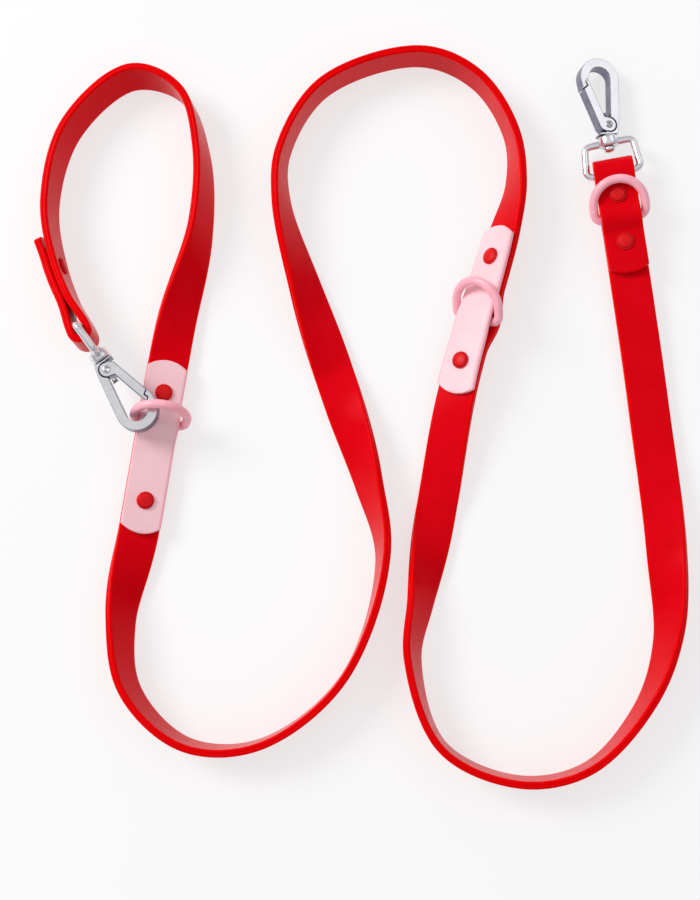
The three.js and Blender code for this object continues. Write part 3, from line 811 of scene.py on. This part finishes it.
def nickel_faces():
    return metal("nickel", (0.74, 0.74, 0.76), (0.82, 0.82, 0.84), (0.16, 0.24), 0.9)


# The hooks' side walls and rounded edges: the same nickel plating as the faces, made dark and bluish as
# painted shade and reflection.
def nickel_sides_painted_shade():
    return metal("nickel_sides_painted_shade", (0.17, 0.17, 0.23), (0.26, 0.26, 0.33), (0.24, 0.34), 0.9)


# The lug between the gate's cheeks: nickel drawn near-black as painted shade in the recess.
def recess_painted_shade():
    return metal("recess_painted_shade", (0.1, 0.1, 0.11), (0.14, 0.14, 0.15), (0.35, 0.5), 1.0)


def plain_steel():
    return metal("plain_steel", (0.42, 0.42, 0.44), (0.54, 0.54, 0.56), (0.22, 0.34), 1.0)


def floor_material():
    """A plain pale table, mostly lit from within so that the strap's red doesn't spill on it."""
    material, nodes, links, shader = new_material("white_table")
    coloured(nodes, links, shader, noise(nodes, links, 4, 2), (0.3, 0.3, 0.3), (0.32, 0.32, 0.32))
    shader.inputs["Roughness"].default_value = 0.9
    shader.inputs["Specular IOR Level"].default_value = 0.0
    shader.inputs["Emission Color"].default_value = (1, 1, 1, 1)
    shader.inputs["Emission Strength"].default_value = 0.66
    return material


# ---------------------------------------------------------------- stage
def make_camera():
    """The camera, above the lead and a little towards the viewer."""
    data = bpy.data.cameras.new("camera")
    data.lens = CAMERA["lens"]
    data.clip_start = 0.01
    camera = bpy.data.objects.new("camera", data)
    bpy.context.scene.collection.objects.link(camera)
    place = Vector(CAMERA["place"]) * 0.001
    way = Vector(CAMERA["target"]) * 0.001 - place
    camera.location = place
    camera.rotation_euler = way.to_track_quat("-Z", "Y").to_euler()
    bpy.context.scene.camera = camera


def make_floor(material):
    """The table top: half a side and the drop under the lead are in metres."""
    half, drop = 30.0, 0.0004
    mesh = bpy.data.meshes.new("table_top")
    corners = [(-half, -half, 0), (half, -half, 0), (half, half, 0), (-half, half, 0)]
    mesh.from_pydata(corners, [], [(0, 1, 2, 3)])
    mesh.materials.append(material)
    floor = bpy.data.objects.new("table_top", mesh)
    bpy.context.scene.collection.objects.link(floor)
    floor.location.z = -drop


def area_light(name, place, size, power, colour):
    """A round light in metres and watts that looks at the middle of the lead."""
    data = bpy.data.lights.new(name, "AREA")
    data.shape = "DISK"
    data.size = size
    data.energy = power
    data.color = colour
    light = bpy.data.objects.new(name, data)
    bpy.context.scene.collection.objects.link(light)
    light.location = place
    light.rotation_euler = (-Vector(place)).to_track_quat("-Z", "Y").to_euler()


def make_world():
    """A soft surround: pale at the horizon, dim above it and light overhead."""
    world = bpy.data.worlds.new("studio")
    bpy.context.scene.world = world
    world.use_nodes = True
    nodes, links = world.node_tree.nodes, world.node_tree.links
    coordinates = nodes.new("ShaderNodeTexCoord")
    split = nodes.new("ShaderNodeSeparateXYZ")
    ramp = nodes.new("ShaderNodeValToRGB")
    stops = [(0.02, (0.86, 0.86, 0.87, 1)), (0.36, (0.28, 0.28, 0.32, 1)), (0.9, (0.74, 0.74, 0.75, 1))]
    ramp.color_ramp.elements.new(stops[2][0])
    for element, (position, colour) in zip(ramp.color_ramp.elements, stops):
        element.position = position
        element.color = colour
    links.new(coordinates.outputs["Generated"], split.inputs["Vector"])
    links.new(split.outputs["Z"], ramp.inputs["Fac"])
    links.new(ramp.outputs["Color"], nodes["Background"].inputs["Color"])
    nodes["Background"].inputs["Strength"].default_value = 0.95


# ---------------------------------------------------------------- making
make_camera()
strap = strap_piece(red_coating(), red_edge_painted_highlight())

pink, pink_shaded_side, ring_enamel = pink_coating(), pink_edge_painted_shade(), pink_enamel()
for tab in TABS:
    tab_piece(tab, pink, pink_shaded_side)
    seat = ring_seat(tab["first"] + tab["ring"], tab["strap_bow"], False)
    ring_piece(tab["name"], seat, tab["tilt"], ring_enamel)
ring_piece("3", ring_seat(FREE_RING_AT, FREE_END["strap_bow"], True), FREE_END["tilt"], ring_enamel)

rivet_pieces(red_rivet_enamel())

hook_metals_and_shade = (nickel_faces(), nickel_sides_painted_shade(), recess_painted_shade(), plain_steel())
hook_pieces("1", *hook_metals_and_shade)
declare_strap(hook_pieces("2", *hook_metals_and_shade))

make_floor(floor_material())
make_world()
area_light("key", (-1.5, 0.8, 1.3), 0.9, 30, (1, 0.99, 0.98))
area_light("fill", (1.1, 1.05, 1.3), 1.4, 3.0, (0.97, 0.98, 1))
bpy.context.scene.view_settings.view_transform = "Standard"
